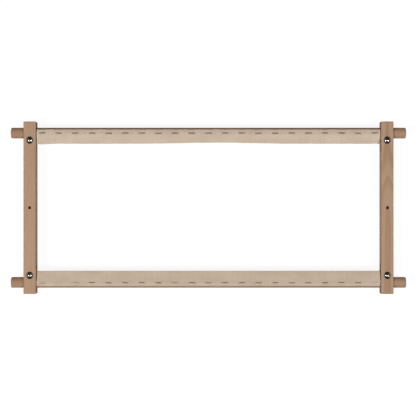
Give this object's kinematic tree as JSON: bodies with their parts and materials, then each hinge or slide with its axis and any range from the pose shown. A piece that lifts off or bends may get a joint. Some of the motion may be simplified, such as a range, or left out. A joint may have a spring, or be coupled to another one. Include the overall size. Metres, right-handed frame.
{
  "type": "scroll frame",
  "caption": "Needlework scroll frame: split-end side rails clamped by carriage bolts and wing nuts on turning rollers that carry stapled webbing.",
  "frame": {"origin": "middle of the frame in plan, on the flat surface that the tips of the wing nuts stand on when the frame lies face up", "axes": "+X along the rollers to the right seen from the front, +Y along the side rails to the top roller, +Z out of the front face, which carries the bolt heads"},
  "size_m": [0.7, 0.305, 0.0444],
  "materials": {
    "beech": "satin",
    "roller_beech": "satin",
    "webbing": "matte",
    "staple_wire": "satin",
    "bright_bolt": "gloss",
    "zinc_washer": "satin",
    "cast_wing_nut": "satin"
  },
  "bodies": {
    "left_rail": {"left_side_rail": "beech", "clamp_bolt_left_top": "bright_bolt", "clamp_bolt_left_bottom": "bright_bolt"},
    "right_rail": {"right_side_rail": "beech", "clamp_bolt_right_top": "bright_bolt", "clamp_bolt_right_bottom": "bright_bolt"},
    "top_roll": {"top_roller": "roller_beech", "top_tape": "webbing", "top_staples": "staple_wire"},
    "bottom_roll": {"bottom_roller": "roller_beech", "bottom_tape": "webbing", "bottom_staples": "staple_wire"},
    "left_top_washer": {"washer_left_top": "zinc_washer"},
    "left_bottom_washer": {"washer_left_bottom": "zinc_washer"},
    "right_top_washer": {"washer_right_top": "zinc_washer"},
    "right_bottom_washer": {"washer_right_bottom": "zinc_washer"},
    "left_top_nut": {"wing_nut_left_top": "cast_wing_nut"},
    "left_bottom_nut": {"wing_nut_left_bottom": "cast_wing_nut"},
    "right_top_nut": {"wing_nut_right_top": "cast_wing_nut"},
    "right_bottom_nut": {"wing_nut_right_bottom": "cast_wing_nut"}
  },
  "joints": [
    {"name": "right_rail_slide", "type": "slide", "parent": "left_rail", "child": "right_rail", "axis": [1, 0, 0], "range_m": [0, 0.023]},
    {"name": "top_roller_turn", "type": "hinge", "parent": "left_rail", "child": "top_roll", "pos_m": [0, 0.1325, 0.0277], "axis": [1, 0, 0], "continuous": true},
    {"name": "bottom_roller_turn", "type": "hinge", "parent": "left_rail", "child": "bottom_roll", "pos_m": [0, -0.1325, 0.0277], "axis": [1, 0, 0], "continuous": true},
    {"name": "left_top_washer_slide", "type": "slide", "parent": "left_rail", "child": "left_top_washer", "axis": [0, 0, -1], "range_m": [0, 0.0049]},
    {"name": "left_bottom_washer_slide", "type": "slide", "parent": "left_rail", "child": "left_bottom_washer", "axis": [0, 0, -1], "range_m": [0, 0.0049]},
    {"name": "right_top_washer_slide", "type": "slide", "parent": "right_rail", "child": "right_top_washer", "axis": [0, 0, -1], "range_m": [0, 0.0049]},
    {"name": "right_bottom_washer_slide", "type": "slide", "parent": "right_rail", "child": "right_bottom_washer", "axis": [0, 0, -1], "range_m": [0, 0.0049]},
    {"name": "left_top_nut_turn", "type": "hinge", "parent": "left_top_washer", "child": "left_top_nut", "pos_m": [-0.316, 0.1195, 0.0065], "axis": [0, 0, -1], "range_deg": [0, 2160]},
    {"name": "left_bottom_nut_turn", "type": "hinge", "parent": "left_bottom_washer", "child": "left_bottom_nut", "pos_m": [-0.316, -0.1195, 0.0065], "axis": [0, 0, -1], "range_deg": [0, 2160]},
    {"name": "right_top_nut_turn", "type": "hinge", "parent": "right_top_washer", "child": "right_top_nut", "pos_m": [0.316, 0.1195, 0.0065], "axis": [0, 0, -1], "range_deg": [0, 2160]},
    {"name": "right_bottom_nut_turn", "type": "hinge", "parent": "right_bottom_washer", "child": "right_bottom_nut", "pos_m": [0.316, -0.1195, 0.0065], "axis": [0, 0, -1], "range_deg": [0, 2160]}
  ],
  "couplings": [
    {"joint": "left_top_washer_slide", "follows": "left_top_nut_turn", "m_per_rad": 0.00012732},
    {"joint": "left_bottom_washer_slide", "follows": "left_bottom_nut_turn", "m_per_rad": 0.00012732},
    {"joint": "right_top_washer_slide", "follows": "right_top_nut_turn", "m_per_rad": 0.00012732},
    {"joint": "right_bottom_washer_slide", "follows": "right_bottom_nut_turn", "m_per_rad": 0.00012732}
  ]
}
